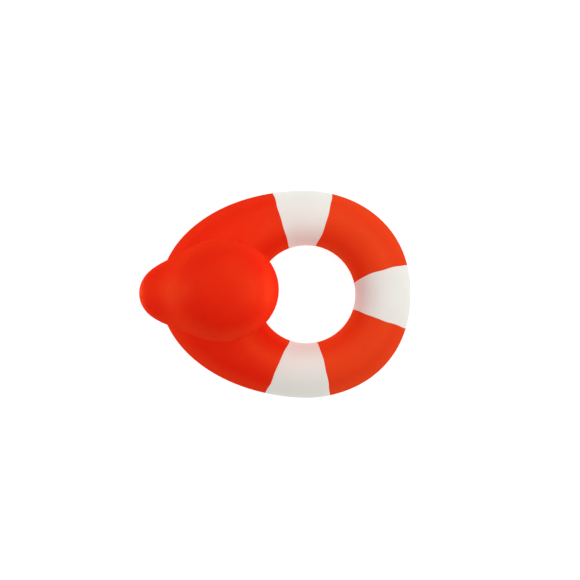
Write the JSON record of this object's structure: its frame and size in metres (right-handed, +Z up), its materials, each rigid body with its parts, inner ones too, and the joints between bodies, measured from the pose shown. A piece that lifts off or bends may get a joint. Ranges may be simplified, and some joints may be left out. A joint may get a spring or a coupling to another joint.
{
  "type": "duck-shaped ring float",
  "caption": "Small hollow rubber bath float: an egg-shaped ring with a round hole and white bands, and a round duck's head with a wide snub bill on its deep front, turned slightly to its left.",
  "frame": {"origin": "middle of the float's footprint box, on the surface that it stands on", "axes": "+Z up out of the ring's deck, +Y from the bill towards the stern, +X towards the float's left side"},
  "size_m": [0.066, 0.0844, 0.0518],
  "materials": {
    "red_rubber": "matt, fine grain",
    "white_rubber": "matt, warm white",
    "black_rubber": "satin"
  },
  "bodies": {
    "root": {"ring_hull": "red_rubber", "band_left": "white_rubber", "band_right": "white_rubber", "band_stern": "white_rubber", "head": "red_rubber", "eye_left": "black_rubber", "eye_right": "black_rubber", "hull_plug": "red_rubber"}
  },
  "joints": []
}
